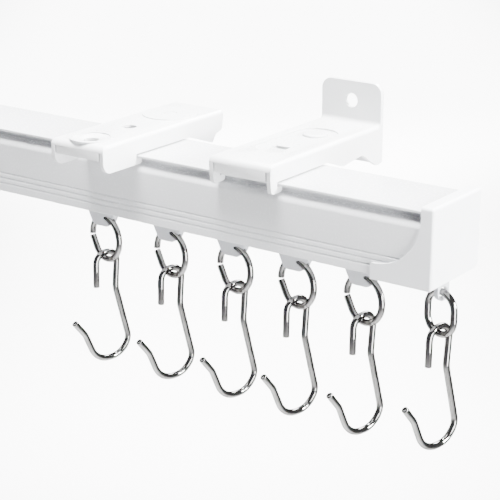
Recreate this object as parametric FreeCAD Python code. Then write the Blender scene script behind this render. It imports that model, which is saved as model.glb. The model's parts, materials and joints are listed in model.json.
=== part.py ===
import FreeCAD, Part
import math
import os

# Curtain track, in millimetres. The wall is the plane Y = 0 and the track hangs in front of it,
# at negative Y. X runs along the track, Z is up. The origin is the axis of the wall bracket's
# screw hole, on the wall.

V = FreeCAD.Vector

# Track profile, an aluminium extrusion with a slot underneath
track_length = 300.0          # over the two end caps
end_reach = 74.4              # from the wall bracket's middle to the right-hand end
wall_to_track = 53.0          # from the wall to the middle of the profile
rail_width = 29.6
rail_height = 25.2
rail_wall = 1.2
rail_edge_radius = 0.4
plate_undercut = 0.8          # the top plate's edges slope back below
plate_under_radius = 0.2
slot_width = 4.6
recess_depth = 5.3            # side recess that the brackets grip
recess_height = 2.8
crest_radius = 2.5            # rounded upper edge of each fascia
groove_count = 3
groove_first_height = 3.4     # above the profile's lower face
groove_pitch = 2.05
groove_depth = 0.45
groove_width = 0.8

# End caps, moulded
cap_wall = 2.0
cap_skin = 1.2
cap_floor = 1.0
cap_roof = 1.8
cap_rim = 4.8                 # how far the cap's upper part covers the profile
cap_sweep_radius = 17.4       # curved cut-out of the cap's sides
cap_lip_height = 5.8
cap_lip_flat = 1.2
cap_edge_radius = 1.1
cap_heel_radius = 3.0         # lower back corner
cap_lip_radius = 1.0
plug_length = 8.0
plug_wall = 1.4
plug_clearance = 0.1
floor_slot_clearance = 1.2

# Pressed steel brackets
sheet = 1.6
screw_above_arm = 7.9         # from the arm's upper face to the wall screw
arm_above_rail = 6.8
arm_clearance = 0.4           # between the flanges and the track's upper face
edge_clearance = 0.3
claw_reach = 2.6              # how far a claw goes under the track's edge
claw_drop = 2.3               # below the underside of the track's top plate
claw_toe_radius = 1.1
claw_crown_radius = 0.2
rear_step_gap = 1.2           # from the track's back edge to the step of the flanges
rear_step_radius = 1.5
nose_radius = 2.5
lip_corner_radius = 1.5
bend_radius = 1.5
slit_width = 0.7
screw_hole_radius = 2.75
window_width = 6.0
window_length = 3.2
window_from_track_middle = 5.6
rear_drop_reach = 11.5        # behind the track, where the flanges come down
rear_drop = 3.3

wall_arm_width = 26.0
wall_arm_overhang = 4.4       # in front of the track
wall_nose_lip = 5.8
wall_claw_setback = 0.7
wall_claw_radius = 1.6
wall_drop_radius = 3.0
wall_plate_thickness = 1.8
wall_plate_rise = 7.4         # above the screw
wall_plate_drop = 22.6        # below the screw
wall_plate_corner = 4.0
wall_plate_low_corner = 1.0
wall_rivet_from_back = 12.4
wall_rivet_head = 4.6
pocket_depth = 0.6
pocket_radius = 8.4
pocket_front = 4.0            # in front of the track's middle
foot_waist = 1.5
foot_reach = 12.2
foot_toe = 2.1
foot_waist_radius = 4.0
foot_toe_radius = 1.2

ceiling_bracket_spacing = 61.4
ceiling_arm_width = 24.6
ceiling_arm_overhang = 18.5
ceiling_arm_tail = 22.2       # behind the track
ceiling_nose_lip = 5.5
ceiling_corner_radius = 4.2
ceiling_drop_radius = 1.5
tail_toe_length = 4.0
tail_toe_drop = 1.4
tail_toe_radius = 0.8
tail_heel_length = 2.0
tail_heel_rise = 3.0
tail_heel_radius = 0.6
tail_slope_rise = 1.2
tail_corner_length = 0.8
tail_corner_rise = 4.2
ceiling_front_hole_from_middle = 25.3
ceiling_back_hole_from_middle = 4.3
ceiling_sink_radius = 4.6
ceiling_sink_depth = 0.6
ceiling_rivet_from_back = 5.0
ceiling_rivet_head = 2.6
pad_radius = 10.6
pad_height = 0.5
rib_width = 1.2
rib_radius = 7.4

# Sliding lock plates under the brackets
lock_sheet = 1.4
lock_gap = 0.2
lock_side_clearance = 0.3
lock_travel = 5.2
lock_claw_reach = 3.8
lock_claw_inner = 5.0
lock_claw_width = 4.0
lock_claw_clearance = 0.3
lock_riser_gap = 0.8
lock_bend_radius = 0.8
lock_front = 6.3              # the plate's front end, in front of the track's back edge
lock_tail = 4.6               # behind the rivet
rivet_radius = 1.5
rivet_slot_clearance = 0.2
rivet_foot_radius = 3.0
rivet_foot = 1.1
rivet_head_height = 0.9
rivet_dome_radius = 0.55

# Runners
runner_from_end = (153.3, 121.1, 91.2, 63.8, 35.8)
runner_length = 12.7
runner_height = 8.6           # above the profile's lips
runner_corner_radius = 2.0
neck_clearance = 0.3
neck_drop = 1.0               # below the profile's lower face
neck_edge_radius = 0.4
tongue_thickness = 3.4
tongue_drop = 10.3            # below the profile's lower face
tongue_tip_length = 7.8
tongue_shoulder_drop = 5.2
tongue_shoulder_radius = 4.0
tongue_tip_radius = 3.2
wheel_radius = 5.0
wheel_width = 4.2
wheel_gap = 0.4
wheel_rim = 1.1
wheel_web_sink = 0.8
wheel_hub_radius = 2.2
wheel_inner_edge = 0.4
wheel_tread_edge = 0.6
wheel_rim_edge = 0.2
track_clearance = 0.2         # between a wheel and the lip that it runs on
axle_radius = 1.0
axle_clearance = 0.06
axle_stub = 0.5

# Rings, end link and hooks, in steel wire
ring_wire = 2.4
ring_radius = 8.5             # of the wire's centre line
ring_turn_deg = -13.0         # the ring's plane against the track's direction
ring_shift = 0.7              # along the track, from the runner's middle
ring_crown_drop = 6.85        # from the profile's lower face to the wire's centre
ring_split = 0.5              # between the wire's ends, at the ring's left side
ring_end_slope_deg = 30.0     # the straight end below the split, against the vertical
ring_end_bend_radius = 6.6
eye_clearance = 0.35
link_width = 11.8             # of the wire's centre line
link_height = 15.1
link_crown_drop = 6.25
hook_wire = 2.4
hang_clearance = 0.3
hook_turn_deg = 77.0
hook_height = 43.9            # from crown to bowl, of the wire's centre line
hook_crown_back = 5.0
hook_crown_front = 5.0
hook_leg_back = 5.2
hook_leg_length = 13.4
hook_kink_front = 3.8
hook_kink_drop = 15.2
hook_heel_front = 9.8
hook_heel_rise = 5.6          # heel, toe and tip are measured up from the bowl
hook_bowl_front = 5.0
hook_bowl_back = 6.0
hook_toe_back = 11.3
hook_toe_rise = 12.3
hook_tip_back = 16.0
hook_tip_rise = 18.1
hook_bend_radius = 4.3
hook_kink_radius = 9.0
hook_heel_radius = 5.6
hook_bowl_front_radius = 8.6
hook_bowl_back_radius = 9.0
hook_toe_radius = 7.0

# End eye, a rivet-like pin through the right-hand cap's floor
end_eye_from_end = 5.0
end_eye_stem_radius = 1.8
end_eye_stem_clearance = 0.05
end_eye_head_radius = 2.6
end_eye_head_height = 1.5
end_eye_collar_radius = 3.1
end_eye_collar_height = 0.8
end_eye_width = 5.6
end_eye_thickness = 1.8
end_eye_tip_radius = 2.6
end_eye_drop = 9.3            # from the profile's lower face to the pin's lower end
end_eye_hole_clearance = 0.45
end_eye_flare = 0.5
end_eye_flare_depth = 0.6

# Not sizes of the product
tiny = 1e-6
past = 1.0                    # how far a cutter runs past the face that it opens

# Places that follow from the sizes above
right_end_x = end_reach
left_end_x = right_end_x - track_length
rail_mid_y = -wall_to_track
rail_front_y = rail_mid_y - rail_width / 2
rail_back_y = rail_mid_y + rail_width / 2
arm_top_z = -screw_above_arm
arm_under_z = arm_top_z - sheet
rail_top_z = arm_top_z - arm_above_rail
rail_bottom_z = rail_top_z - rail_height
plate_under_z = rail_top_z - rail_wall
recess_low_z = plate_under_z - recess_height
lip_top_z = rail_bottom_z + rail_wall
channel_top_z = recess_low_z - rail_wall
ceiling_x = -ceiling_bracket_spacing
runner_x = [right_end_x - distance for distance in runner_from_end]
wheel_axis_z = lip_top_z + track_clearance + wheel_radius
ring_centre_z = rail_bottom_z - ring_crown_drop - ring_radius
end_eye_x = right_end_x - end_eye_from_end
link_crown_z = rail_bottom_z - link_crown_drop
hook_rise = ring_wire / 2 + hang_clearance + hook_wire / 2


def in_yz(x):
    """Place a (y, z) pair in the plane at x."""
    return lambda p: V(x, p[0], p[1])


def in_xz(y):
    """Place an (x, z) pair in the plane at y."""
    return lambda p: V(p[0], y, p[1])


def rounded_path(corners, place, closed):
    """Join (a, b, radius) corners with straight lines and tangent arcs."""
    count = len(corners)
    starts = []
    ends = []
    arcs = []
    for i, (a, b, radius) in enumerate(corners):
        here = V(a, b, 0)
        if radius == 0 or (not closed and i in (0, count - 1)):
            starts.append(here)
            ends.append(here)
            arcs.append(None)
            continue
        before = V(corners[i - 1][0], corners[i - 1][1], 0) - here
        after = V(corners[(i + 1) % count][0], corners[(i + 1) % count][1], 0) - here
        before.normalize()
        after.normalize()
        half = before.getAngle(after) / 2
        reach = radius / math.tan(half)
        inward = before + after
        inward.normalize()
        centre = here + inward * (radius / math.sin(half))
        starts.append(here + before * reach)
        ends.append(here + after * reach)
        arcs.append(centre - inward * radius)
    edges = []
    for i in range(count):
        if arcs[i] is not None:
            first = place((starts[i].x, starts[i].y))
            middle = place((arcs[i].x, arcs[i].y))
            last = place((ends[i].x, ends[i].y))
            edges.append(Part.Arc(first, middle, last).toShape())
        if i < count - 1 or closed:
            there = starts[(i + 1) % count]
            if (there - ends[i]).Length > tiny:
                line = Part.LineSegment(place((ends[i].x, ends[i].y)), place((there.x, there.y)))
                edges.append(line.toShape())
    return Part.Wire(edges)


def prism(corners, place, direction):
    """Extrude a closed outline with rounded corners."""
    return Part.Face(rounded_path(corners, place, True)).extrude(direction)


def block(x0, x1, y0, y1, z0, z1):
    """Box between two opposite corners."""
    return Part.makeBox(x1 - x0, y1 - y0, z1 - z0, V(x0, y0, z0))


def upright_cylinder(x, y, radius, z0, z1):
    """Cylinder about a vertical axis."""
    return Part.makeCylinder(radius, z1 - z0, V(x, y, z0), V(0, 0, 1))


def obround(x, y0, y1, radius, z0, z1):
    """Upright slot shape, from end centre y0 to end centre y1."""
    ends = upright_cylinder(x, y0, radius, z0, z1).fuse(upright_cylinder(x, y1, radius, z0, z1))
    return ends.fuse(block(x - radius, x + radius, y0, y1, z0, z1)).removeSplitter()


def edges_where(shape, test):
    """Straight edges whose two ends both pass the test."""
    return [e for e in shape.Edges if len(e.Vertexes) == 2 and all(test(v.Point) for v in e.Vertexes)]


def wire_rod(path, start, direction, radius):
    """Round wire swept along a path of lines and tangent arcs."""
    circle = Part.Wire(Part.makeCircle(radius, start, direction))
    return path.makePipeShell([circle], True, False)


def track_rail():
    """Slotted profile: top plate, side recesses, two fascias with rounded crests, and lips."""
    half = rail_width / 2
    neck = half - recess_depth
    front = [
        (-half, rail_top_z, rail_edge_radius),
        (-half + plate_undercut, plate_under_z, plate_under_radius),
        (-neck, plate_under_z, 0),
        (-neck, recess_low_z, 0),
        (-half, recess_low_z, crest_radius),
        (-half, rail_bottom_z, rail_edge_radius),
        (-slot_width / 2, rail_bottom_z, 0),
        (-slot_width / 2, lip_top_z, 0),
        (-half + rail_wall, lip_top_z, 0),
        (-half + rail_wall, channel_top_z, crest_radius - rail_wall),
        (-neck + rail_wall, channel_top_z, 0),
        (-neck + rail_wall, plate_under_z, 0),
    ]
    back = [(-d, z, radius) for d, z, radius in reversed(front)]
    outline = [(rail_mid_y + d, z, radius) for d, z, radius in front + back]
    x0 = left_end_x + cap_wall
    length = track_length - 2 * cap_wall
    rail = prism(outline, in_yz(x0), V(length, 0, 0))
    for i in range(groove_count):
        z = rail_bottom_z + groove_first_height + i * groove_pitch
        groove = [
            (rail_front_y - groove_depth, z - groove_width, 0),
            (rail_front_y + groove_depth, z, 0),
            (rail_front_y - groove_depth, z + groove_width, 0),
        ]
        rail = rail.cut(prism(groove, in_yz(x0), V(length, 0, 0)))
    return rail


def end_cap(outer_x, inward, with_eye):
    """Moulded cap: end wall, rim, swept sides, a floor with a slot, and a hollow plug."""
    front_y = rail_front_y - cap_skin
    back_y = rail_back_y + cap_skin
    low_z = rail_bottom_z - cap_floor
    high_z = rail_top_z + cap_roof
    lip_reach = cap_rim + cap_sweep_radius + cap_lip_flat
    lip_z = low_z + cap_lip_height
    side = [
        (outer_x, low_z, 0),
        (outer_x, high_z, 0),
        (outer_x + inward * cap_rim, high_z, 0),
        (outer_x + inward * cap_rim, lip_z, cap_sweep_radius),
        (outer_x + inward * lip_reach, lip_z, cap_lip_radius),
        (outer_x + inward * lip_reach, low_z, 0),
    ]
    cap = prism(side, in_xz(front_y), V(0, back_y - front_y, 0))
    end_outline = [
        (front_y, low_z, 0),
        (front_y, high_z, 0),
        (back_y, high_z, 0),
        (back_y, low_z, cap_heel_radius),
    ]
    cap_x = min(outer_x, outer_x + inward * lip_reach)
    cap = cap.common(prism(end_outline, in_yz(cap_x), V(lip_reach, 0, 0)))
    outer_edges = edges_where(cap, lambda p: abs(p.x - outer_x) < tiny)
    roof_edges = edges_where(cap, lambda p: abs(p.z - high_z) < tiny)
    long_edges = [e for e in roof_edges if not any(e.isSame(o) for o in outer_edges)]
    long_edges = [e for e in long_edges if e.BoundBox.YLength < tiny]
    cap = cap.makeFillet(cap_edge_radius, outer_edges + long_edges)

    def span(u0, u1):
        return sorted((outer_x + inward * u0, outer_x + inward * u1))

    x0, x1 = span(cap_wall, lip_reach + past)
    cap = cap.cut(block(x0, x1, rail_front_y, rail_back_y, rail_bottom_z, rail_top_z))
    slot_half = slot_width / 2 + floor_slot_clearance
    slot_y0 = rail_mid_y - slot_half
    x0, x1 = span(cap_wall + plug_length, lip_reach + past)
    cap = cap.cut(block(x0, x1, slot_y0, slot_y0 + 2 * slot_half, low_z - past, rail_bottom_z))

    plug_y = rail_width / 2 - rail_wall - plug_clearance
    plug_low = lip_top_z + plug_clearance
    plug_high = channel_top_z - plug_clearance - crest_radius / 2
    x0, x1 = span(cap_wall, cap_wall + plug_length)
    plug = block(x0, x1, rail_mid_y - plug_y, rail_mid_y + plug_y, plug_low, plug_high)
    inner_y = plug_y - plug_wall
    x0, x1 = span(cap_wall, cap_wall + plug_length + past)
    hollow = block(x0, x1, rail_mid_y - inner_y, rail_mid_y + inner_y,
                   plug_low + plug_wall, plug_high - plug_wall)
    cap = cap.fuse(plug.cut(hollow))
    if with_eye:
        stem_x = outer_x + inward * end_eye_from_end
        stem_radius = end_eye_stem_radius + end_eye_stem_clearance
        plug_floor_z = plug_low + plug_wall
        cap = cap.cut(upright_cylinder(stem_x, rail_mid_y, stem_radius, low_z - past, plug_floor_z + past))
    return cap.removeSplitter()


def claw_outline(claw_front):
    """Flange corners from the claw's lower front round its toe and up to the track's upper face."""
    notch_y = rail_front_y - edge_clearance
    toe_y = rail_front_y + claw_reach
    return claw_front + [
        (toe_y, plate_under_z - claw_drop, claw_toe_radius),
        (toe_y, plate_under_z, claw_crown_radius),
        (notch_y, plate_under_z, 0),
        (notch_y, rail_top_z + arm_clearance, 0),
        (rail_back_y + rear_step_gap, rail_top_z + arm_clearance, rear_step_radius),
    ]


def channel_arm(outline, middle_x, width, nose_y, tail_y, lip_drop):
    """Downward channel: top sheet, two flanges of the given outline and a short nose lip."""
    half = width / 2
    inner = half - sheet
    low_z = arm_top_z - wall_plate_drop - wall_plate_rise
    folded = [
        (middle_x - half, low_z, 0),
        (middle_x - half, arm_top_z, bend_radius),
        (middle_x + half, arm_top_z, bend_radius),
        (middle_x + half, low_z, 0),
    ]
    arm = prism(outline, in_yz(middle_x - half), V(width, 0, 0))
    arm = arm.common(prism(folded, in_xz(nose_y - past), V(0, tail_y - nose_y + 2 * past, 0)))
    cavity = [
        (nose_y + sheet, arm_under_z, nose_radius - sheet),
        (tail_y, arm_under_z, 0),
        (tail_y, low_z, 0),
        (nose_y + sheet, low_z, 0),
    ]
    arm = arm.cut(prism(cavity, in_yz(middle_x - inner), V(2 * inner, 0, 0)))
    lip_z = arm_top_z - lip_drop
    opening_y = nose_y + sheet + past
    arm = arm.cut(block(middle_x - inner, middle_x + inner, nose_y - past, opening_y, low_z, lip_z))
    slit_top = arm_top_z - nose_radius
    for side in (-1, 1):
        x0, x1 = sorted((middle_x + side * inner, middle_x + side * (inner - slit_width)))
        arm = arm.cut(block(x0, x1, nose_y - past, nose_y + sheet, lip_z - past, slit_top))
    return arm


def rivet_bore(middle_x, rivet_y):
    """Hole for a lock rivet through the arm's top sheet."""
    high_z = arm_top_z + pad_height + past
    return upright_cylinder(middle_x, rivet_y, rivet_radius, arm_under_z - past, high_z)


def wall_bracket():
    """Arm with two small claws, folded up at the back into the wall plate."""
    nose_y = rail_front_y - wall_arm_overhang
    plate_y = -wall_plate_thickness
    claw_z = plate_under_z - claw_drop
    rear_z = rail_top_z - rear_drop
    plate_low = -wall_plate_drop
    front = [
        (nose_y, arm_top_z, nose_radius),
        (nose_y, arm_top_z - wall_nose_lip, lip_corner_radius),
        (nose_y + wall_claw_setback, claw_z, wall_claw_radius),
    ]
    outline = claw_outline(front) + [
        (rail_back_y + rear_drop_reach, rear_z, wall_drop_radius),
        (plate_y - foot_reach, rear_z + foot_waist, foot_waist_radius),
        (plate_y - foot_toe, plate_low, foot_toe_radius),
        (plate_y, plate_low, 0),
        (plate_y, arm_top_z, 0),
    ]
    arm = channel_arm(outline, 0, wall_arm_width, nose_y, plate_y, wall_nose_lip)
    half = wall_arm_width / 2
    plate = prism(
        [
            (-half, plate_low, wall_plate_low_corner),
            (-half, wall_plate_rise, wall_plate_corner),
            (half, wall_plate_rise, wall_plate_corner),
            (half, plate_low, wall_plate_low_corner),
        ],
        in_xz(plate_y),
        V(0, wall_plate_thickness, 0),
    )
    bracket = arm.fuse(plate).removeSplitter()
    fold = edges_where(bracket, lambda p: abs(p.y - plate_y) < tiny and abs(p.z - arm_top_z) < tiny)
    if fold:
        bracket = bracket.makeFillet(bend_radius, fold)
    screw_length = wall_plate_thickness + 2 * past
    screw_start = V(0, plate_y - past, 0)
    bracket = bracket.cut(Part.makeCylinder(screw_hole_radius, screw_length, screw_start, V(0, 1, 0)))
    rivet_y = rail_back_y + wall_rivet_from_back
    pocket_y = rail_mid_y - pocket_front + pocket_radius
    bracket = bracket.cut(
        obround(0, pocket_y, rivet_y, pocket_radius, arm_top_z - pocket_depth, arm_top_z + past)
    )
    bracket = bracket.cut(rivet_bore(0, rivet_y))
    return bracket.cut(release_window(0))


def release_window(middle_x):
    """Opening through which the lock plate's front end is pushed back."""
    y = rail_mid_y + window_from_track_middle
    x = middle_x + window_width / 2
    return block(middle_x - window_width / 2, x, y - window_length / 2, y + window_length / 2,
                 arm_under_z - past, arm_top_z + past)


def ceiling_bracket():
    """Longer arm with deep front corners, holes for ceiling screws and a round pad at the back."""
    nose_y = rail_front_y - ceiling_arm_overhang
    tail_y = rail_back_y + ceiling_arm_tail
    claw_z = plate_under_z - claw_drop
    rear_z = rail_top_z - rear_drop
    front = [
        (nose_y, arm_top_z, nose_radius),
        (nose_y, claw_z, ceiling_corner_radius),
    ]
    drop_y = rail_back_y + rear_drop_reach
    toe_z = rear_z - tail_toe_drop
    heel_z = toe_z + tail_heel_rise
    slope_z = heel_z + tail_slope_rise
    outline = claw_outline(front) + [
        (drop_y, rear_z, ceiling_drop_radius),
        (drop_y + tail_toe_length, toe_z, tail_toe_radius),
        (drop_y + tail_toe_length + tail_heel_length, heel_z, tail_heel_radius),
        (tail_y - tail_corner_length, slope_z, tail_heel_radius),
        (tail_y, slope_z + tail_corner_rise, lip_corner_radius),
        (tail_y, arm_top_z, 0),
    ]
    bracket = channel_arm(outline, ceiling_x, ceiling_arm_width, nose_y, tail_y + past, ceiling_nose_lip)
    rivet_y = rail_back_y + ceiling_rivet_from_back
    seat_z = arm_top_z + pad_height
    pad = upright_cylinder(ceiling_x, rivet_y, pad_radius, arm_under_z, seat_z)
    hole_y = rail_mid_y - ceiling_front_hole_from_middle
    rib = upright_cylinder(ceiling_x, hole_y, rib_radius + rib_width / 2, arm_top_z, seat_z)
    rib = rib.cut(upright_cylinder(ceiling_x, hole_y, rib_radius - rib_width / 2, arm_top_z, seat_z))
    bracket = bracket.fuse(pad).fuse(rib).removeSplitter()
    for from_middle in (-ceiling_front_hole_from_middle, -ceiling_back_hole_from_middle):
        y = rail_mid_y + from_middle
        bracket = bracket.cut(
            upright_cylinder(ceiling_x, y, screw_hole_radius, arm_under_z - past, arm_top_z + past)
        )
    sink = Part.makeCone(screw_hole_radius, ceiling_sink_radius, ceiling_sink_depth,
                         V(ceiling_x, hole_y, arm_top_z - ceiling_sink_depth), V(0, 0, 1))
    bracket = bracket.cut(sink)
    bracket = bracket.cut(
        upright_cylinder(ceiling_x, rivet_y, ceiling_rivet_head, seat_z - rivet_head_height, seat_z)
    )
    return bracket.cut(rivet_bore(ceiling_x, rivet_y))


def lock_plate(middle_x, arm_width, rivet_y):
    """Flat plate that slides along Y under the arm, with two claws for the track's back edge."""
    half = arm_width / 2 - sheet - lock_side_clearance
    top_z = arm_under_z - lock_gap
    low_z = top_z - lock_sheet
    front_y = rail_back_y - lock_front
    plate = block(middle_x - half, middle_x + half, front_y, rivet_y + lock_tail, low_z, top_z)
    claw_high = plate_under_z - lock_claw_clearance
    claw_low = claw_high - lock_sheet
    riser_y = rail_back_y + lock_riser_gap
    claw = [
        (rail_back_y - lock_claw_reach, claw_low, 0),
        (rail_back_y - lock_claw_reach, claw_high, 0),
        (riser_y, claw_high, 0),
        (riser_y, low_z + lock_sheet / 2, 0),
        (riser_y + lock_sheet, low_z + lock_sheet / 2, 0),
        (riser_y + lock_sheet, claw_low, lock_bend_radius),
    ]
    for side in (-1, 1):
        x0 = min(side * lock_claw_inner, side * (lock_claw_inner + lock_claw_width))
        plate = plate.fuse(prism(claw, in_yz(middle_x + x0), V(lock_claw_width, 0, 0)))
    slot_radius = rivet_radius + rivet_slot_clearance
    slot = obround(middle_x, rivet_y - lock_travel, rivet_y, slot_radius, low_z - past, top_z + past)
    return plate.cut(slot).removeSplitter()


def lock_rivet(middle_x, rivet_y, head_radius, seat_z):
    """Shouldered rivet: domed head on the arm, shank, and a foot under the lock plate."""
    foot_top = arm_under_z - 2 * lock_gap - lock_sheet
    shank = upright_cylinder(middle_x, rivet_y, rivet_radius, foot_top, seat_z)
    foot = upright_cylinder(middle_x, rivet_y, rivet_foot_radius, foot_top - rivet_foot, foot_top)
    head = upright_cylinder(middle_x, rivet_y, head_radius, seat_z, seat_z + rivet_head_height)
    rim = [e for e in head.Edges if abs(e.CenterOfMass.z - seat_z - rivet_head_height) < tiny]
    head = head.makeFillet(rivet_dome_radius, rim)
    return shank.fuse(foot).fuse(head).removeSplitter()


def turned(degrees):
    """Turn about the vertical."""
    return FreeCAD.Rotation(V(0, 0, 1), degrees)


def ring_frame(x):
    """Placement of a ring's own plane: turned about the vertical, at the ring's centre."""
    return FreeCAD.Placement(V(x + ring_shift, rail_mid_y, ring_centre_z), turned(ring_turn_deg))


def runner(x):
    """Moulded carrier: a body between the wheels, a neck in the slot and a tongue with its eye."""
    neck_half = slot_width / 2 - neck_clearance
    half = runner_length / 2
    top_z = lip_top_z + track_clearance + runner_height
    neck_low = rail_bottom_z - neck_drop
    body = prism(
        [
            (x - half, neck_low, neck_edge_radius),
            (x - half, top_z, runner_corner_radius),
            (x + half, top_z, runner_corner_radius),
            (x + half, neck_low, neck_edge_radius),
        ],
        in_xz(rail_mid_y - neck_half),
        V(0, 2 * neck_half, 0),
    )
    shoulder_z = rail_bottom_z - tongue_shoulder_drop
    tip_z = rail_bottom_z - tongue_drop
    tongue = prism(
        [
            (x - half, lip_top_z, 0),
            (x + half, lip_top_z, 0),
            (x + half, shoulder_z, tongue_shoulder_radius),
            (x + tongue_tip_length / 2, tip_z, tongue_tip_radius),
            (x - tongue_tip_length / 2, tip_z, tongue_tip_radius),
            (x - half, shoulder_z, tongue_shoulder_radius),
        ],
        in_xz(rail_mid_y - tongue_thickness / 2),
        V(0, tongue_thickness, 0),
    )
    shape = body.fuse(tongue)
    bore = Part.makeCylinder(axle_radius + axle_clearance, 2 * (neck_half + past),
                             V(x, rail_mid_y - neck_half - past, wheel_axis_z), V(0, 1, 0))
    eye = Part.makeTorus(ring_radius, ring_wire / 2 + eye_clearance, V(0, 0, 0), V(0, 1, 0))
    eye.Placement = ring_frame(x)
    return shape.cut(bore).cut(eye).removeSplitter()


def axle(x):
    """Plain pin through the runner, with a short stub outside each wheel."""
    half = slot_width / 2 - neck_clearance + wheel_gap + wheel_width + axle_stub
    return Part.makeCylinder(axle_radius, 2 * half, V(x, rail_mid_y - half, wheel_axis_z), V(0, 1, 0))


def wheel(x, side):
    """Turned wheel with a rim, a sunk web and a hub, on the axle's front or back end."""
    inner = slot_width / 2 - neck_clearance + wheel_gap
    outer = inner + wheel_width
    section = [
        (axle_radius, inner, 0),
        (wheel_radius, inner, wheel_inner_edge),
        (wheel_radius, outer, wheel_tread_edge),
        (wheel_radius - wheel_rim, outer, wheel_rim_edge),
        (wheel_radius - wheel_rim, outer - wheel_web_sink, 0),
        (wheel_hub_radius, outer - wheel_web_sink, 0),
        (wheel_hub_radius, outer, wheel_rim_edge),
        (axle_radius, outer, 0),
    ]
    centre = V(x, rail_mid_y, wheel_axis_z)
    outline = rounded_path(section, lambda p: centre + V(p[0], side * p[1], 0), True)
    return Part.Face(outline).revolve(centre, V(0, 1, 0), 360)


def ring(x):
    """Wire ring with a narrow split at its left side, over a straight end that cuts the corner."""
    slope = math.radians(ring_end_slope_deg)
    end_drop = ring_split + ring_wire / 2 * math.sin(slope)
    corner_x = -ring_radius + (ring_radius - end_drop) * math.tan(slope)
    corners = [
        (-ring_radius, -end_drop, 0),
        (corner_x, -ring_radius, ring_end_bend_radius),
        (ring_radius, -ring_radius, ring_radius),
        (ring_radius, ring_radius, ring_radius),
        (-ring_radius, ring_radius, ring_radius),
        (-ring_radius, 0, 0),
    ]
    start = V(corners[0][0], 0, corners[0][1])
    towards = V(corners[1][0], 0, corners[1][1]) - start
    body = wire_rod(rounded_path(corners, in_xz(0), False), start, towards, ring_wire / 2)
    body.Placement = ring_frame(x)
    return body


def end_link():
    """Oval wire link that hangs in the end eye."""
    radius = link_width / 2
    upper = V(radius, 0, -radius)
    lower = V(radius, 0, radius - link_height)
    path = Part.Wire([
        Part.LineSegment(lower, upper).toShape(),
        Part.Arc(upper, V(0, 0, 0), V(-radius, 0, upper.z)).toShape(),
        Part.LineSegment(V(-radius, 0, upper.z), V(-radius, 0, lower.z)).toShape(),
        Part.Arc(V(-radius, 0, lower.z), V(0, 0, -link_height), lower).toShape(),
    ])
    body = wire_rod(path, lower, V(0, 0, 1), ring_wire / 2)
    body.Placement = FreeCAD.Placement(V(end_eye_x, rail_mid_y, link_crown_z), turned(ring_turn_deg))
    return body


def hook(x, wire_z):
    """S-shaped wire hook over a ring's lowest point, whose wire centre lies at x and wire_z."""
    top = hook_rise
    bowl = top - hook_height
    corners = [
        (-hook_leg_back, top - hook_leg_length, 0),
        (-hook_crown_back, top, hook_bend_radius),
        (hook_crown_front, top, hook_bend_radius),
        (hook_kink_front, top - hook_kink_drop, hook_kink_radius),
        (hook_heel_front, bowl + hook_heel_rise, hook_heel_radius),
        (hook_bowl_front, bowl, hook_bowl_front_radius),
        (-hook_bowl_back, bowl, hook_bowl_back_radius),
        (-hook_toe_back, bowl + hook_toe_rise, hook_toe_radius),
        (-hook_tip_back, bowl + hook_tip_rise, 0),
    ]
    path = rounded_path(corners, in_xz(0), False)
    start = V(corners[0][0], 0, corners[0][1])
    towards = V(corners[1][0], 0, corners[1][1]) - start
    body = wire_rod(path, start, towards, hook_wire / 2)
    body.Placement = FreeCAD.Placement(V(x, rail_mid_y, wire_z), turned(hook_turn_deg))
    return body


def end_eye():
    """Pin headed over inside the cap's plug, with a flat eye below the cap."""
    floor_z = rail_bottom_z - cap_floor
    head_z = lip_top_z + plug_clearance + plug_wall
    low_z = rail_bottom_z - end_eye_drop
    collar_z = floor_z - end_eye_collar_height
    stem = upright_cylinder(end_eye_x, rail_mid_y, end_eye_stem_radius, collar_z, head_z)
    head_top_z = head_z + end_eye_head_height
    head = upright_cylinder(end_eye_x, rail_mid_y, end_eye_head_radius, head_z, head_top_z)
    collar = upright_cylinder(end_eye_x, rail_mid_y, end_eye_collar_radius, collar_z, floor_z)
    half = end_eye_width / 2
    plate = prism(
        [
            (-half, collar_z, 0),
            (half, collar_z, 0),
            (half, low_z, end_eye_tip_radius),
            (-half, low_z, end_eye_tip_radius),
        ],
        lambda p: V(-end_eye_thickness / 2, p[0], p[1]),
        V(end_eye_thickness, 0, 0),
    )
    hole_radius = ring_wire / 2 + end_eye_hole_clearance
    hole_start = V(-end_eye_thickness, 0, link_crown_z)
    plate = plate.cut(Part.makeCylinder(hole_radius, 2 * end_eye_thickness, hole_start, V(1, 0, 0)))
    for side in (-1, 1):
        flare_start = V(side * (end_eye_thickness / 2 - end_eye_flare_depth), 0, link_crown_z)
        flare = Part.makeCone(hole_radius, hole_radius + end_eye_flare, end_eye_flare_depth,
                              flare_start, V(side, 0, 0))
        plate = plate.cut(flare)
    plate.Placement = FreeCAD.Placement(V(end_eye_x, rail_mid_y, 0), turned(ring_turn_deg))
    return stem.fuse(head).fuse(collar).fuse(plate).removeSplitter()


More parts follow.
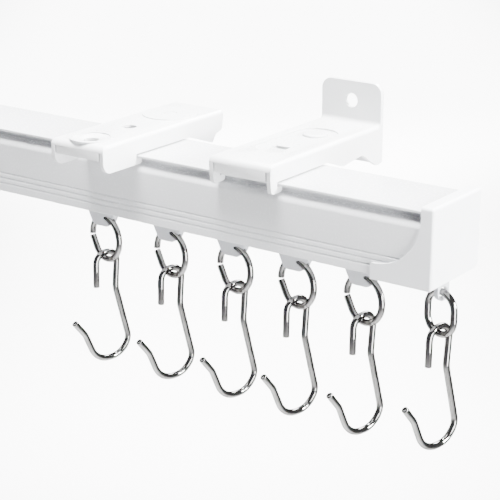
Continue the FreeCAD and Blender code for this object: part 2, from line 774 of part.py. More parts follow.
def build_nodes():
    """All separate pieces by name."""
    wall_rivet_y = rail_back_y + wall_rivet_from_back
    ceiling_rivet_y = rail_back_y + ceiling_rivet_from_back
    ceiling_seat_z = arm_top_z + pad_height - rivet_head_height
    nodes = {
        "track_rail": track_rail(),
        "end_cap_right": end_cap(right_end_x, -1, True),
        "end_cap_left": end_cap(left_end_x, 1, False),
        "wall_bracket": wall_bracket(),
        "ceiling_bracket": ceiling_bracket(),
        "wall_lock_plate": lock_plate(0, wall_arm_width, wall_rivet_y),
        "wall_lock_rivet": lock_rivet(0, wall_rivet_y, wall_rivet_head, arm_top_z - pocket_depth),
        "ceiling_lock_plate": lock_plate(ceiling_x, ceiling_arm_width, ceiling_rivet_y),
        "ceiling_lock_rivet": lock_rivet(ceiling_x, ceiling_rivet_y, ceiling_rivet_head, ceiling_seat_z),
        "end_eye": end_eye(),
        "end_link": end_link(),
        "end_hook": hook(end_eye_x, link_crown_z - link_height),
    }
    for number, x in enumerate(runner_x, 1):
        nodes["runner_%d" % number] = runner(x)
        nodes["axle_%d" % number] = axle(x)
        nodes["wheel_front_%d" % number] = wheel(x, -1)
        nodes["wheel_back_%d" % number] = wheel(x, 1)
        nodes["ring_%d" % number] = ring(x)
        nodes["hook_%d" % number] = hook(x + ring_shift, ring_centre_z - ring_radius)
    return nodes


os.makedirs("parts", exist_ok=True)
for name, shape in build_nodes().items():
    shape.exportStep("parts/%s.step" % name)
    print(name, "solids", len(shape.Solids), "valid", shape.isValid(), "volume", round(shape.Volume, 1))
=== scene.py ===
import json
import math

import bmesh
import bpy
import numpy as np
from bpy.props import FloatProperty, FloatVectorProperty, IntProperty, PointerProperty
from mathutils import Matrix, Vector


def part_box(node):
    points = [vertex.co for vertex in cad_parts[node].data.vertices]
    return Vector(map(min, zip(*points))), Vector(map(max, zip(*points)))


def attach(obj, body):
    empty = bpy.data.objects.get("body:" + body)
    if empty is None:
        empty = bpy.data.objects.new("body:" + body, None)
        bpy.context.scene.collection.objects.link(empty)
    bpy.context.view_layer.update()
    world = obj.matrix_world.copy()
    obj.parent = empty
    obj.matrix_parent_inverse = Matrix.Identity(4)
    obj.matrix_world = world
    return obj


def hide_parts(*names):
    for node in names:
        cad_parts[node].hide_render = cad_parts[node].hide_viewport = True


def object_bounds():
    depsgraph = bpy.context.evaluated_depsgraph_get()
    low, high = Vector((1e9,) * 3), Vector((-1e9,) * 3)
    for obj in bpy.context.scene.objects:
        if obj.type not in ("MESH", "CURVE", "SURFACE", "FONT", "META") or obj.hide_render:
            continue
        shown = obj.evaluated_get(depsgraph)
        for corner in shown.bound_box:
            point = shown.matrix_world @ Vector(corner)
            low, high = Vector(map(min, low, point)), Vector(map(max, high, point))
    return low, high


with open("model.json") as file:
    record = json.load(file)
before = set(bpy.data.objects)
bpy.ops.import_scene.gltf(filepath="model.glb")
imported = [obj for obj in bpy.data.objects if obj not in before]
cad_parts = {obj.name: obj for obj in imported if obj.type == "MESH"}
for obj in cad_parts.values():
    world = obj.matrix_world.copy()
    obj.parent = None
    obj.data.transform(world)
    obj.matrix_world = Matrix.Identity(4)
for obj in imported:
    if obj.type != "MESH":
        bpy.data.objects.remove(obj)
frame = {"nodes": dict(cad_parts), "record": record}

bl_info = {
    "name": "Curtain Track",
    "version": (1, 0, 0),
    "blender": (4, 5, 0),
    "location": "View3D > Sidebar > Curtain Track",
    "description": "Dresses a slotted curtain track: rail, caps, brackets, runners, rings and hooks",
    "category": "Object",
}

CAD_BOX = [list(corner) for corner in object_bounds()]
RECORD = frame["record"]
JOINTS = {joint["name"]: joint for joint in RECORD["behaviour"]["joints"]}
BODY_OF = {node: body for body, nodes in RECORD["behaviour"]["bodies"].items() for node in nodes}
RUNNERS = range(1, 6)
UP = np.array([0.0, 0.0, 1.0])

SAME_POINT = 1e-8
NO_DIRECTION = 1e-12
MERGE_DISTANCE = 2e-6
FLAT_ANGLE = math.radians(0.6)
SHARP_ANGLE = math.radians(32.0)
GRAIN_RANGE = (0.3, 0.7)

CAMERA_PLACE = (0.31205, -0.49538, 0.13434)
CAMERA_ELEVATION = math.radians(18.341)
CAMERA_AZIMUTH = math.radians(36.008)
FILM_WIDTH = 36.0

# Each light's place and target, its width and height, and the angle of its beam in degrees.
LIGHTS = {
    "top": ((-0.10, -0.06, 0.85), (-0.05, -0.04, 0.0), (0.60, 0.40), 50.0),
    "back": ((-0.15, 0.75, 0.55), (-0.05, 0.0, 0.0), (0.50, 0.30), 40.0),
    "side": ((0.95, 0.14, 0.27), (0.0, -0.04, -0.03), (0.26, 0.60), 30.0),
    "tall": ((0.76, -0.35, -0.11), (0.0, -0.05, -0.09), (0.36, 0.65), 120.0),
    "near_floor": ((-0.599, 0.759, 0.50), (-0.628, 0.799, -0.446), (0.76, 1.16), 40.0),
    "far_floor": ((-1.452, 1.932, 0.50), (-1.481, 1.972, -0.446), (1.30, 1.90), 40.0),
}


def length(name, description, default):
    """A length in metres that a user may change."""
    return FloatProperty(name=name, description=description, default=default, min=0.0, precision=5,
                         subtype="DISTANCE", unit="LENGTH")


def colour(name, description, default):
    """A linear colour that a user may change."""
    return FloatVectorProperty(name=name, description=description, default=default, size=3, min=0.0, max=1.0,
                               subtype="COLOR")


def share(name, description, default):
    """A number from 0 to 1 that a user may change."""
    return FloatProperty(name=name, description=description, default=default, min=0.0, max=1.0, subtype="FACTOR")


def power(name, description, default):
    """A light's power in watts that a user may change."""
    return FloatProperty(name=name, description=description, default=default, min=0.0, unit="POWER")


class CurtainRailSizes(bpy.types.PropertyGroup):
    """Sizes of the track's extruded profile"""

    wall: length("Wall", "Thickness of the extrusion's walls", 0.0012)
    slot_width: length("Slot", "Width of the slot underneath", 0.0046)
    recess_depth: length("Recess depth", "How far the side recess goes in", 0.0053)
    recess_height: length("Recess height", "Height of the side recess", 0.0028)
    plate_undercut: length("Plate undercut", "How far the top plate's edges slope back below", 0.0008)
    crest_radius: length("Crest", "Radius of the fascia's rounded upper edge", 0.0025)
    edge_radius: length("Edges", "Radius of the plate's and the lower edges", 0.0004)
    inner_radius: length("Inner edges", "Radius of the edges in the recess and the slot", 0.0002)
    groove_height: length("First groove", "Height of the lowest groove over the lower face", 0.0034)
    groove_pitch: length("Groove pitch", "Distance between the fascia's grooves", 0.00205)
    groove_depth: length("Groove depth", "Depth of each groove", 0.00045)
    groove_half: length("Groove half width", "Half the width of each groove at the face", 0.0004)
    groove_count: IntProperty(name="Grooves", description="Number of grooves in the fascia", default=3, min=0)


class CurtainWireSizes(bpy.types.PropertyGroup):
    """Sizes of the rings, the end link and the hooks"""

    radius: length("Wire radius", "Radius of the round wire", 0.0012)
    ring_radius: length("Ring radius", "Radius of a ring's centre line", 0.0085)
    ring_split: length("Ring split", "Gap between the ring's ends", 0.0005)
    ring_slope: FloatProperty(name="Ring end slope", description="Lean of the ring's straight end",
                              default=math.radians(30.0), subtype="ANGLE", unit="ROTATION")
    ring_bend: length("Ring end bend", "Radius of the bend below the ring's straight end", 0.0066)
    link_width: length("Link width", "Width of the end link's centre line", 0.0118)
    link_height: length("Link height", "Height of the end link's centre line", 0.0151)
    hook_height: length("Hook height", "From crown to bowl of a hook's centre line", 0.0439)
    hook_rise: length("Hook rise", "From the wire that the hook hangs on to its crown's centre line", 0.0027)


class CurtainEdgeSizes(bpy.types.PropertyGroup):
    """Sizes of the small roundings on pressed and moulded pieces"""

    bracket: length("Bracket edges", "Radius of the brackets' sheared edges", 0.00022)
    cap: length("Cap edges", "Radius of the caps' small edges", 0.00025)
    runner: length("Runner edges", "Radius of the runners' moulded edges", 0.00025)


class CurtainFinishes(bpy.types.PropertyGroup):
    """Colours and gloss of the finishes"""

    rail: colour("Rail", "Powder coat of the rail", (0.80, 0.81, 0.83))
    bracket: colour("Brackets", "Enamel of the brackets", (0.83, 0.84, 0.85))
    cap: colour("Caps", "Moulded caps", (0.82, 0.83, 0.855))
    runner: colour("Runners", "Moulded runners", (0.50, 0.51, 0.535))
    wheel: colour("Wheels", "Moulded wheels", (0.62, 0.62, 0.60))
    wire: colour("Wire", "Plated wire", (0.25, 0.246, 0.24))
    pin: colour("Pins", "Drawn steel pins", (0.50, 0.50, 0.50))
    coat_roughness: share("Coat roughness", "Roughness of the powder coat", 0.26)
    enamel_roughness: share("Enamel roughness", "Roughness of the enamel", 0.30)
    moulding_roughness: share("Moulding roughness", "Roughness of the moulded caps", 0.34)
    wire_roughness: share("Wire roughness", "Roughness of the plated wire", 0.07)


class CurtainStudio(bpy.types.PropertyGroup):
    """Floor, lights and camera"""

    floor_drop: length("Floor drop", "How far the floor lies below the hooks", 0.34)
    floor: colour("Floor", "The pale floor", (0.90, 0.90, 0.90))
    room: colour("Room", "The unlit room round the lights", (0.22, 0.22, 0.224))
    top_power: power("Top light", "Power of the light overhead", 11.8)
    back_power: power("Back light", "Power of the light behind and above", 1.2)
    side_power: power("Side light", "Power of the light high to the right", 4.8)
    tall_power: power("Tall light", "Power of the upright light to the right", 8.6)
    near_floor_power: power("Near floor light", "Power of the light over the floor behind", 36.0)
    far_floor_power: power("Far floor light", "Power of the light over the floor far behind", 92.0)
    lens: FloatProperty(name="Lens", description="Focal length on a film 36 mm wide", default=115.02, unit="CAMERA")


GROUPS = {
    "curtain_rail": CurtainRailSizes,
    "curtain_wire": CurtainWireSizes,
    "curtain_edges": CurtainEdgeSizes,
    "curtain_finish": CurtainFinishes,
    "curtain_studio": CurtainStudio,
}


def rounded_run(corners, closed, arc_step=math.radians(5.0)):
    """Points and directions along straight lines joined by tangent arcs.

    A corner c has a radius r, a unit vector u to the corner before and w to the corner after, with an angle 2h
    between them. Its arc is centred at c + (u + w) / |u + w| * r / sin h and runs from c + u r / tan h to
    c + w r / tan h. Point k of an arc is the centre plus r (cos a_k, sin a_k), with a_k in even steps. Points that
    fall on the one before are left out.
    """
    corners = np.asarray(corners, dtype=float)
    points = corners[:, :2]
    radius = corners[:, 2].copy()
    if not closed:
        radius[[0, -1]] = 0.0
    before = np.roll(points, 1, axis=0) - points
    after = np.roll(points, -1, axis=0) - points
    before /= np.linalg.norm(before, axis=1)[:, None]
    after /= np.linalg.norm(after, axis=1)[:, None]
    half = np.arccos(np.clip((before * after).sum(axis=1), -1.0, 1.0)) / 2
    inward = before + after
    inward /= np.maximum(np.linalg.norm(inward, axis=1), NO_DIRECTION)[:, None]
    centre = points + inward * (radius / np.sin(half))[:, None]
    start = points + before * (radius / np.tan(half))[:, None]
    end = points + after * (radius / np.tan(half))[:, None]
    run = []
    heading = []
    for i in range(len(points)):
        if radius[i] == 0.0:
            first = not closed and i == 0
            run.append(points[i][None])
            heading.append((after[i] if first else -before[i])[None])
            continue
        a0 = math.atan2(*(start[i] - centre[i])[::-1])
        a1 = math.atan2(*(end[i] - centre[i])[::-1])
        sweep = (a1 - a0 + math.pi) % (2 * math.pi) - math.pi
        angle = a0 + np.linspace(0.0, sweep, max(3, int(abs(sweep) / arc_step) + 2))
        out = np.stack([np.cos(angle), np.sin(angle)], axis=1)
        run.append(centre[i] + radius[i] * out)
        heading.append(math.copysign(1.0, sweep) * np.stack([-out[:, 1], out[:, 0]], axis=1))
    run = np.concatenate(run)
    heading = np.concatenate(heading)
    step = np.linalg.norm(np.diff(run, axis=0, append=run[:1]), axis=1)
    keep = step > SAME_POINT
    if not closed:
        keep[-1] = True
    return run[keep], heading[keep]


def new_piece(name, vertices, faces, smooth_angle=math.radians(35.0)):
    """Mesh object at the origin, smooth but for edges sharper than the angle."""
    mesh = bpy.data.meshes.new(name)
    mesh.from_pydata(vertices.tolist(), [], faces)
    mesh.validate()
    mesh.shade_smooth()
    mesh.set_sharp_from_angle(angle=smooth_angle)
    piece = bpy.data.objects.new(name, mesh)
    bpy.context.scene.collection.objects.link(piece)
    return piece


def stand_in(piece, node, material):
    """Let the piece take the place of its CAD node, on the node's body and with the finish given."""
    piece.data.materials.clear()
    piece.data.materials.append(material)
    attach(piece, BODY_OF[node])
    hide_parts(node)


def carried_profile(name, outline, x0, x1):
    """Closed (y, z) outline carried straight along X.

    Vertex (i, end) is (x_end, y_i, z_i). The outline is turned to run anticlockwise as seen from +X, so that side
    faces point outwards, and one many-sided face closes each end.
    """
    following = np.roll(outline, -1, axis=0)
    if (outline[:, 0] * following[:, 1] - following[:, 0] * outline[:, 1]).sum() < 0:
        outline = outline[::-1]
    count = len(outline)
    near = np.column_stack([np.full(count, x0), outline])
    far = np.column_stack([np.full(count, x1), outline])
    here = np.arange(count)
    there = np.roll(here, -1)
    sides = np.stack([here, there, there + count, here + count], axis=1)
    faces = sides.tolist() + [here[::-1].tolist(), (here + count).tolist()]
    return new_piece(name, np.concatenate([near, far]), faces)


def carried_wire(name, run, heading, closed, radius, origin, along, around=28):
    """Round wire carried along a flat run.

    The run's (a, b) stands for origin + a A + b Z, with A the level direction of its plane. With t the direction of
    travel, k = A x Z and n = k x t, the surface is p(s) + f(s) r (cos v n + sin v k). f is 1 along the wire. At a
    cut end it falls through a small rounded rim to a flat face with a shallow dimple.
    """
    along = np.asarray(along, dtype=float) / np.linalg.norm(along)
    side = np.cross(along, UP)
    scale = np.ones(len(run))
    if not closed:
        depth = np.array([0.16, 0.05, 0.0, 0.0, 0.05, 0.09]) * radius
        ease = np.array([1.0, 0.97, 0.90, 0.62, 0.42, 0.15])
        first = run[0] + heading[0] * depth[::-1, None]
        last = run[-1] - heading[-1] * depth[:, None]
        run = np.concatenate([first, run[1:-1], last])
        heading = np.concatenate([np.repeat(heading[:1], len(depth), axis=0), heading[1:-1],
                                  np.repeat(heading[-1:], len(depth), axis=0)])
        scale = np.concatenate([ease[::-1], scale[1:-1], ease])
    centre = np.asarray(origin) + run[:, :1] * along + run[:, 1:] * UP
    travel = heading[:, :1] * along + heading[:, 1:] * UP
    normal = np.cross(side, travel)
    turn = np.arange(around) * (2 * math.pi / around)
    spoke = np.cos(turn)[None, :, None] * normal[:, None, :] + np.sin(turn)[None, :, None] * side
    grid = centre[:, None, :] + radius * scale[:, None, None] * spoke
    count = len(run)
    rows = np.arange(count if closed else count - 1)
    i0 = rows[:, None] * around
    i1 = ((rows + 1) % count)[:, None] * around
    j0 = np.arange(around)[None, :]
    j1 = (j0 + 1) % around
    quads = np.stack([i0 + j0, i0 + j1, i1 + j1, i1 + j0], axis=2).reshape(-1, 4)
    vertices = grid.reshape(-1, 3)
    faces = quads.tolist()
    distance = np.concatenate([[0.0], np.cumsum(np.linalg.norm(np.diff(run, axis=0), axis=1))])
    lay = np.stack([np.broadcast_to(distance[:, None], (count, around)),
                    np.broadcast_to(radius * np.cos(turn), (count, around)),
                    np.broadcast_to(radius * np.sin(turn), (count, around))], axis=2).reshape(-1, 3)
    if not closed:
        poles = centre[[0, -1]]
        vertices = np.concatenate([vertices, poles])
        low, high = len(vertices) - 2, len(vertices) - 1
        j0 = j0[0]
        j1 = j1[0]
        tail = (count - 1) * around
        faces += np.stack([np.full(around, low), j1, j0], axis=1).tolist()
        faces += np.stack([np.full(around, high), tail + j0, tail + j1], axis=1).tolist()
        lay = np.concatenate([lay, [[distance[0], 0.0, 0.0], [distance[-1], 0.0, 0.0]]])
    piece = new_piece(name, vertices, faces, math.radians(60.0))
    drawn = piece.data.attributes.new("drawn", "FLOAT_VECTOR", "POINT")
    drawn.data.foreach_set("vector", lay.ravel())
    return piece


def eased_copy(node, name, edge, segments=2):
    """The CAD piece with its sheared or moulded edges eased: equal corners merged, flat faces joined, then a bevel."""
    mesh = frame["nodes"][node].data.copy()
    mesh.name = name
    work = bmesh.new()
    work.from_mesh(mesh)
    bmesh.ops.remove_doubles(work, verts=work.verts, dist=MERGE_DISTANCE)
    bmesh.ops.dissolve_limit(work, angle_limit=FLAT_ANGLE, verts=work.verts, edges=work.edges)
    work.to_mesh(mesh)
    work.free()
    mesh.shade_smooth()
    mesh.set_sharp_from_angle(angle=SHARP_ANGLE)
    piece = bpy.data.objects.new(name, mesh)
    bpy.context.scene.collection.objects.link(piece)
    bevel = piece.modifiers.new("Eased edges", "BEVEL")
    bevel.width = edge
    bevel.segments = segments
    bevel.limit_method = "ANGLE"
    bevel.angle_limit = SHARP_ANGLE
    bevel.use_clamp_overlap = True
    bevel.harden_normals = True
    bevel.miter_outer = "MITER_ARC"
    return piece


def start_finish(name, tone, roughness, metallic=0.0):
    """Material with one Principled shader, whose even values are set on the shader itself."""
    material = bpy.data.materials.new(name)
    material.use_nodes = True
    tree = material.node_tree
    tree.nodes.clear()
    output = tree.nodes.new("ShaderNodeOutputMaterial")
    shader = tree.nodes.new("ShaderNodeBsdfPrincipled")
    shader.inputs["Base Color"].default_value = (*tone, 1.0)
    shader.inputs["Roughness"].default_value = roughness
    shader.inputs["Metallic"].default_value = metallic
    tree.links.new(shader.outputs["BSDF"], output.inputs["Surface"])
    return material, tree, shader


def object_place(tree):
    """Object coordinates, in metres."""
    return tree.nodes.new("ShaderNodeTexCoord").outputs["Object"]


def grain(tree, place, stretch, detail=2.0, roughness=0.5):
    """Noise with the given number of grains per metre along each axis."""
    mapping = tree.nodes.new("ShaderNodeMapping")
    mapping.inputs["Scale"].default_value = stretch
    noise = tree.nodes.new("ShaderNodeTexNoise")
    noise.inputs["Scale"].default_value = 1.0
    noise.inputs["Detail"].default_value = detail
    noise.inputs["Roughness"].default_value = roughness
    tree.links.new(place, mapping.inputs["Vector"])
    tree.links.new(mapping.outputs["Vector"], noise.inputs["Vector"])
    return noise.outputs["Fac"]


def spread(tree, value, low, high):
    """A grain's usual values spread from low to high."""
    stretch = tree.nodes.new("ShaderNodeMapRange")
    stretch.inputs["From Min"].default_value = GRAIN_RANGE[0]
    stretch.inputs["From Max"].default_value = GRAIN_RANGE[1]
    stretch.inputs["To Min"].default_value = low
    stretch.inputs["To Max"].default_value = high
    tree.links.new(value, stretch.inputs["Value"])
    return stretch.outputs["Result"]


def tone_between(tree, shader, value, dark, light):
    """Base colour that goes from dark to light with the value."""
    mix = tree.nodes.new("ShaderNodeMix")
    mix.data_type = "RGBA"
    mix.inputs[6].default_value = (*dark, 1.0)
    mix.inputs[7].default_value = (*light, 1.0)
    tree.links.new(value, mix.inputs[0])
    tree.links.new(mix.outputs[2], shader.inputs["Base Color"])


def relief(tree, shader, value, height, before=None):
    """Bump of the given height in metres, on top of the one before."""
    bump = tree.nodes.new("ShaderNodeBump")
    bump.inputs["Strength"].default_value = 1.0
    bump.inputs["Distance"].default_value = height
    tree.links.new(value, bump.inputs["Height"])
    if before is not None:
        tree.links.new(before, bump.inputs["Normal"])
    tree.links.new(bump.outputs["Normal"], shader.inputs["Normal"])
    return bump.outputs["Normal"]


def shaded(tone, factor):
    """The colour, darker or lighter by a factor."""
    return tuple(min(1.0, part * factor) for part in tone)


def powder_coat(tone, roughness):
    """Satin powder coat over an extrusion: fine orange peel, and faint die lines along the track."""
    material, tree, shader = start_finish("rail_powder_coat", tone, roughness)
    place = object_place(tree)
    peel = grain(tree, place, (1300.0, 1300.0, 1300.0), 2.0)
    lines = grain(tree, place, (6.0, 900.0, 900.0), 3.0)
    cloud = grain(tree, place, (25.0, 60.0, 60.0), 2.0)
    tone_between(tree, shader, spread(tree, cloud, 0.0, 1.0), shaded(tone, 0.975), shaded(tone, 1.01))
    tree.links.new(spread(tree, peel, roughness - 0.03, roughness + 0.03), shader.inputs["Roughness"])
    normal = relief(tree, shader, peel, 5e-6)
    relief(tree, shader, lines, 4e-6, normal)
    shader.inputs["Coat Weight"].default_value = 0.7
    shader.inputs["Coat Roughness"].default_value = 0.13
    return material


def pressed_enamel(name, tone, roughness):
    """Enamel over pressed sheet: soft ripples from the press, fine peel, and a little grey where it is thin."""
    material, tree, shader = start_finish(name, tone, roughness)
    place = object_place(tree)
    peel = grain(tree, place, (1100.0, 1100.0, 1100.0), 2.0)
    ripple = grain(tree, place, (160.0, 160.0, 160.0), 1.0)
    cloud = grain(tree, place, (70.0, 70.0, 70.0), 3.0)
    tone_between(tree, shader, spread(tree, cloud, 0.0, 1.0), shaded(tone, 0.965), shaded(tone, 1.01))
    tree.links.new(spread(tree, peel, roughness - 0.04, roughness + 0.05), shader.inputs["Roughness"])
    normal = relief(tree, shader, ripple, 2.2e-5)
    relief(tree, shader, peel, 6e-6, normal)
    shader.inputs["Coat Weight"].default_value = 0.35
    shader.inputs["Coat Roughness"].default_value = 0.12
    return material


def moulded(name, tone, roughness, depth, radius):
    """Moulded plastic: light sinks a little way in, over a fine spark texture and faint flow clouds."""
    material, tree, shader = start_finish(name, tone, roughness)
    place = object_place(tree)
    spark = grain(tree, place, (2200.0, 2200.0, 2200.0), 3.0, 0.6)
    flow = grain(tree, place, (90.0, 90.0, 140.0), 3.0)
    tone_between(tree, shader, spread(tree, flow, 0.0, 1.0), shaded(tone, 0.97), shaded(tone, 1.01))
    tree.links.new(spread(tree, spark, roughness - 0.04, roughness + 0.05), shader.inputs["Roughness"])
    relief(tree, shader, spark, 5e-6)
    shader.inputs["Subsurface Weight"].default_value = depth
    shader.inputs["Subsurface Radius"].default_value = (1.0, 1.0, 1.0)
    shader.inputs["Subsurface Scale"].default_value = radius
    return material


def plated_wire(tone, roughness):
    """Bright plated wire: drawing lines along its length, faint clouds, and duller patches at the bends."""
    material, tree, shader = start_finish("plated_wire", tone, roughness, 1.0)
    shader.inputs["Specular Tint"].default_value = (0.08, 0.08, 0.08, 1.0)
    lay = tree.nodes.new("ShaderNodeAttribute")
    lay.attribute_name = "drawn"
    place = lay.outputs["Vector"]
    lines = grain(tree, place, (90.0, 9000.0, 9000.0), 3.0, 0.6)
    cloud = grain(tree, place, (260.0, 500.0, 500.0), 3.0)
    tone_between(tree, shader, spread(tree, cloud, 0.0, 1.0), shaded(tone, 0.80), shaded(tone, 1.10))
    dull = tree.nodes.new("ShaderNodeMath")
    dull.operation = "ADD"
    tree.links.new(spread(tree, lines, roughness - 0.03, roughness + 0.04), dull.inputs[0])
    tree.links.new(spread(tree, cloud, 0.03, -0.02), dull.inputs[1])
    tree.links.new(dull.outputs["Value"], shader.inputs["Roughness"])
    relief(tree, shader, lines, 1.5e-6)
    return material


def drawn_pin(tone):
    """Drawn steel pin: rings of fine lines across the pin."""
    material, tree, shader = start_finish("drawn_pin", tone, 0.28, 1.0)
    lines = grain(tree, object_place(tree), (800.0, 6000.0, 800.0), 3.0)
    tone_between(tree, shader, spread(tree, lines, 0.0, 1.0), shaded(tone, 0.85), shaded(tone, 1.1))
    tree.links.new(spread(tree, lines, 0.22, 0.36), shader.inputs["Roughness"])
    relief(tree, shader, lines, 3e-6)
    return material


def dress_node(node, material):
    """Give a CAD node its finish."""
    mesh = frame["nodes"][node].data
    mesh.materials.clear()
    mesh.materials.append(material)


def joint_place(name):
    """A joint's place and axis in the row frame."""
    joint = JOINTS[name]
    return np.array(joint["pos_m"]), np.array(joint["axis"])


def level_along(axis, sign):
    """The level direction square to a level axis."""
    return sign * np.array([-axis[1], axis[0], 0.0])


class CURTAIN_OT_track_rail(bpy.types.Operator):
    """Build the slotted rail: its profile, with rounded crests and grooves, is carried along the track"""

    bl_idname = "curtain.track_rail"
    bl_label = "Track rail"
    bl_options = {"REGISTER", "UNDO"}

    def execute(self, context):
        size = context.scene.curtain_rail
        tone = context.scene.curtain_finish
        low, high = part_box("track_rail")
        middle = (low[1] + high[1]) / 2
        half = (high[1] - low[1]) / 2
        neck = half - size.recess_depth
        plate_under = high[2] - size.wall
        recess_low = plate_under - size.recess_height
        channel_top = recess_low - size.wall
        lip_top = low[2] + size.wall
        edge = size.edge_radius
        inner = size.inner_radius
        grooves = []
        for number in reversed(range(size.groove_count)):
            z = low[2] + size.groove_height + number * size.groove_pitch
            grooves += [
                (-half, z + size.groove_half, inner / 2),
                (-half + size.groove_depth, z, inner / 4),
                (-half, z - size.groove_half, inner / 2),
            ]
        upper = [
            (-half, high[2], edge),
            (-half + size.plate_undercut, plate_under, inner),
            (-neck, plate_under, inner),
            (-neck, recess_low, inner),
            (-half, recess_low, size.crest_radius),
        ]
        lower = [
            (-half, low[2], edge),
            (-size.slot_width / 2, low[2], inner),
            (-size.slot_width / 2, lip_top, inner),
            (-half + size.wall, lip_top, inner),
            (-half + size.wall, channel_top, size.crest_radius - size.wall),
            (-neck + size.wall, channel_top, inner),
            (-neck + size.wall, plate_under, inner),
        ]
        plain = upper + lower
        back = [(-a, b, radius) for a, b, radius in reversed(plain)]
        outline, _ = rounded_run(upper + grooves + lower + back, True)
        outline[:, 0] += middle
        rail = carried_profile("rail", outline, low[0], high[0])
        stand_in(rail, "track_rail", powder_coat(tone.rail, tone.coat_roughness))
        return {"FINISHED"}


class CURTAIN_OT_end_caps(bpy.types.Operator):
    """Build the two moulded end caps with their swept sides"""

    bl_idname = "curtain.end_caps"
    bl_label = "End caps"
    bl_options = {"REGISTER", "UNDO"}

    def execute(self, context):
        tone = context.scene.curtain_finish
        material = moulded("moulded_cap", tone.cap, tone.moulding_roughness, 0.06, 0.0012)
        for node in ("end_cap_right", "end_cap_left"):
            cap = eased_copy(node, node + "_moulding", context.scene.curtain_edges.cap)
            stand_in(cap, node, material)
        return {"FINISHED"}


class CURTAIN_OT_brackets(bpy.types.Operator):
    """Build the pressed wall and ceiling brackets"""

    bl_idname = "curtain.brackets"
    bl_label = "Brackets"
    bl_options = {"REGISTER", "UNDO"}

    def execute(self, context):
        tone = context.scene.curtain_finish
        material = pressed_enamel("pressed_enamel", tone.bracket, tone.enamel_roughness)
        for node in ("wall_bracket", "ceiling_bracket"):
            bracket = eased_copy(node, node + "_pressing", context.scene.curtain_edges.bracket)
            stand_in(bracket, node, material)
        return {"FINISHED"}


class CURTAIN_OT_locks(bpy.types.Operator):
    """Finish the lock plates under the brackets and their rivets"""

    bl_idname = "curtain.locks"
    bl_label = "Lock plates and rivets"
    bl_options = {"REGISTER", "UNDO"}

    def execute(self, context):
        tone = context.scene.curtain_finish
        material = pressed_enamel("lock_enamel", shaded(tone.bracket, 0.94), tone.enamel_roughness)
        for bracket in ("wall", "ceiling"):
            dress_node(bracket + "_lock_plate", material)
            dress_node(bracket + "_lock_rivet", material)
        return {"FINISHED"}


class CURTAIN_OT_runners(bpy.types.Operator):
    """Build the moulded runners with their tongues and eyes, and finish the wheels and pins"""

    bl_idname = "curtain.runners"
    bl_label = "Runners"
    bl_options = {"REGISTER", "UNDO"}

    def execute(self, context):
        tone = context.scene.curtain_finish
        runner_finish = moulded("moulded_runner", tone.runner, 0.42, 0.12, 0.0015)
        wheel_finish = moulded("moulded_wheel", tone.wheel, 0.38, 0.05, 0.001)
        pin_finish = drawn_pin(tone.pin)
        for number in RUNNERS:
            node = "runner_%d" % number
            runner = eased_copy(node, node + "_moulding", context.scene.curtain_edges.runner)
            stand_in(runner, node, runner_finish)
            dress_node("wheel_front_%d" % number, wheel_finish)
            dress_node("wheel_back_%d" % number, wheel_finish)
            dress_node("axle_%d" % number, pin_finish)
        return {"FINISHED"}


def wire_finish(context):
    """The plated wire finish, made once and shared by the rings, the link and the hooks."""
    tone = context.scene.curtain_finish
    return bpy.data.materials.get("plated_wire") or plated_wire(tone.wire, tone.wire_roughness)


class CURTAIN_OT_rings(bpy.types.Operator):
    """Bend the five split rings in the runners' eyes"""

    bl_idname = "curtain.rings"
    bl_label = "Rings"
    bl_options = {"REGISTER", "UNDO"}

    def execute(self, context):
        size = context.scene.curtain_wire
        r = size.ring_radius
        drop = size.ring_split + size.radius / 2 * math.sin(size.ring_slope)
        corner = -r + (r - drop) * math.tan(size.ring_slope)
        corners = [(-r, -drop, 0.0), (corner, -r, size.ring_bend), (r, -r, r), (r, r, r), (-r, r, r), (-r, 0.0, 0.0)]
        run, heading = rounded_run(corners, False)
        for number in RUNNERS:
            centre, axis = joint_place("ring_%d_turn" % number)
            along = level_along(axis, -1.0)
            ring = carried_wire("ring_wire_%d" % number, run, heading, False, size.radius, centre, along)
            stand_in(ring, "ring_%d" % number, wire_finish(context))
        return {"FINISHED"}


class CURTAIN_OT_end_link(bpy.types.Operator):
    """Bend the oval link at the track's end, and build the small eye that it hangs in"""

    bl_idname = "curtain.end_link"
    bl_label = "End eye and link"
    bl_options = {"REGISTER", "UNDO"}

    def execute(self, context):
        size = context.scene.curtain_wire
        tone = context.scene.curtain_finish
        half = size.link_width / 2
        height = size.link_height
        corners = [(half, 0.0, half), (-half, 0.0, half), (-half, -height, half), (half, -height, half)]
        run, heading = rounded_run(corners, True)
        crown, axis = joint_place("end_link_sway")
        link = carried_wire("link_wire", run, heading, True, size.radius, crown, level_along(axis, 1.0))
        stand_in(link, "end_link", wire_finish(context))
        eye = eased_copy("end_eye", "end_eye_moulding", context.scene.curtain_edges.runner)
        stand_in(eye, "end_eye", moulded("moulded_eye", shaded(tone.runner, 0.95), 0.40, 0.1, 0.0012))
        return {"FINISHED"}


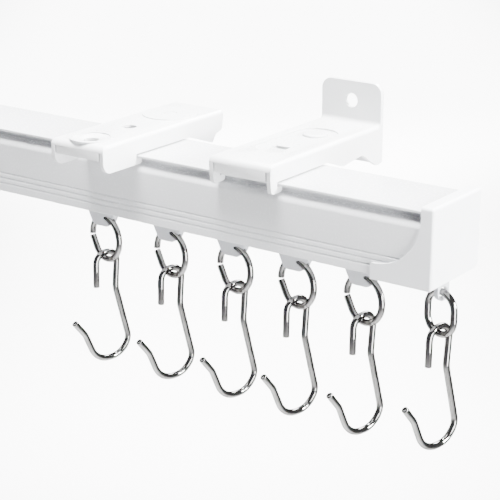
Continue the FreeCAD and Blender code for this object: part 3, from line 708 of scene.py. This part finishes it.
class CURTAIN_OT_hooks(bpy.types.Operator):
    """Bend the six S-shaped hooks on the rings and the end link"""

    bl_idname = "curtain.hooks"
    bl_label = "Hooks"
    bl_options = {"REGISTER", "UNDO"}

    def execute(self, context):
        size = context.scene.curtain_wire
        top = size.hook_rise
        bowl = top - size.hook_height
        corners = [
            (-0.0052, top - 0.0134, 0.0),  # end of the short leg
            (-0.0050, top, 0.0043),  # crown
            (0.0050, top, 0.0043),
            (0.0038, top - 0.0152, 0.0090),  # bend in the shank
            (0.0098, bowl + 0.0056, 0.0056),  # shank into bowl
            (0.0050, bowl, 0.0086),  # bowl
            (-0.0060, bowl, 0.0090),
            (-0.0113, bowl + 0.0123, 0.0070),  # mouth
            (-0.0160, bowl + 0.0181, 0.0),  # tip
        ]
        run, heading = rounded_run(corners, False)
        for name in ["hook_%d" % number for number in RUNNERS] + ["end_hook"]:
            hung, axis = joint_place(name + "_swing")
            along = level_along(axis, 1.0)
            hook = carried_wire(name + "_wire", run, heading, False, size.radius, hung, along)
            stand_in(hook, name, wire_finish(context))
        return {"FINISHED"}


class CURTAIN_OT_studio(bpy.types.Operator):
    """Set out the pale floor, the soft lights and the camera"""

    bl_idname = "curtain.studio"
    bl_label = "Studio"
    bl_options = {"REGISTER", "UNDO"}

    def execute(self, context):
        studio = context.scene.curtain_studio
        self.lay_floor(studio)
        for name, (place, target, size, beam) in LIGHTS.items():
            self.hang_light(name + "_light", place, target, size, beam, getattr(studio, name + "_power"))
        world = bpy.data.worlds.new("studio_room")
        world.use_nodes = True
        world.node_tree.nodes["Background"].inputs["Color"].default_value = (*studio.room, 1.0)
        world.node_tree.nodes["Background"].inputs["Strength"].default_value = 1.0
        context.scene.world = world
        self.set_camera(context, studio)
        return {"FINISHED"}

    def lay_floor(self, studio):
        """Large level square of even tone under the hooks."""
        reach = 14.0
        z = CAD_BOX[0][2] - studio.floor_drop
        corners = np.array([[-reach, -reach, z], [reach, -reach, z], [reach, reach, z], [-reach, reach, z]])
        floor = new_piece("floor", corners, [[0, 1, 2, 3]])
        material, tree, shader = start_finish("floor_paper", studio.floor, 0.75)
        fibre = grain(tree, object_place(tree), (300.0, 300.0, 300.0), 4.0)
        tone_between(tree, shader, spread(tree, fibre, 0.0, 1.0), shaded(studio.floor, 0.995), studio.floor)
        floor.data.materials.append(material)

    def hang_light(self, name, place, target, size, beam, energy):
        """Rectangular soft light that faces its target, with its beam held in by a grid."""
        lamp = bpy.data.lights.new(name, "AREA")
        lamp.shape = "RECTANGLE"
        lamp.size, lamp.size_y = size
        lamp.energy = energy
        lamp.spread = math.radians(beam)
        light = bpy.data.objects.new(name, lamp)
        light.location = place
        aim = np.array(place) - np.array(target)
        flat = math.hypot(aim[0], aim[1])
        light.rotation_euler = (math.atan2(flat, aim[2]), 0.0, math.atan2(aim[0], -aim[1]))
        bpy.context.scene.collection.objects.link(light)

    def set_camera(self, context, studio):
        """Camera at the photograph's angle."""
        view = bpy.data.cameras.new("camera")
        view.sensor_width = FILM_WIDTH
        view.lens = studio.lens
        view.dof.use_dof = False
        camera = bpy.data.objects.new("camera", view)
        camera.location = CAMERA_PLACE
        camera.rotation_euler = (math.pi / 2 - CAMERA_ELEVATION, 0.0, CAMERA_AZIMUTH)
        context.scene.collection.objects.link(camera)
        context.scene.camera = camera


OPERATORS = (
    CURTAIN_OT_track_rail,
    CURTAIN_OT_end_caps,
    CURTAIN_OT_brackets,
    CURTAIN_OT_locks,
    CURTAIN_OT_runners,
    CURTAIN_OT_rings,
    CURTAIN_OT_end_link,
    CURTAIN_OT_hooks,
    CURTAIN_OT_studio,
)


class CURTAIN_PT_pieces(bpy.types.Panel):
    """The track's pieces and their sizes"""

    bl_label = "Curtain Track"
    bl_idname = "CURTAIN_PT_pieces"
    bl_space_type = "VIEW_3D"
    bl_region_type = "UI"
    bl_category = "Curtain Track"

    def draw(self, context):
        layout = self.layout
        for operator in OPERATORS:
            layout.operator(operator.bl_idname)
        for group, kind in GROUPS.items():
            box = layout.box()
            box.label(text=kind.bl_rna.description)
            values = getattr(context.scene, group)
            for value in kind.__annotations__:
                box.prop(values, value)


def register():
    """Register the sizes, the operators and the panel."""
    for kind in GROUPS.values():
        bpy.utils.register_class(kind)
    for operator in OPERATORS:
        bpy.utils.register_class(operator)
    bpy.utils.register_class(CURTAIN_PT_pieces)
    for group, kind in GROUPS.items():
        setattr(bpy.types.Scene, group, PointerProperty(type=kind))


def unregister():
    """Take the panel, the operators and the sizes away again."""
    for group in GROUPS:
        delattr(bpy.types.Scene, group)
    bpy.utils.unregister_class(CURTAIN_PT_pieces)
    for operator in reversed(OPERATORS):
        bpy.utils.unregister_class(operator)
    for kind in reversed(GROUPS.values()):
        bpy.utils.unregister_class(kind)


def main():
    """Build every piece in order."""
    register()
    bpy.ops.curtain.track_rail()
    bpy.ops.curtain.end_caps()
    bpy.ops.curtain.brackets()
    bpy.ops.curtain.locks()
    bpy.ops.curtain.runners()
    bpy.ops.curtain.rings()
    bpy.ops.curtain.end_link()
    bpy.ops.curtain.hooks()
    bpy.ops.curtain.studio()


if __name__ == "__main__":
    main()
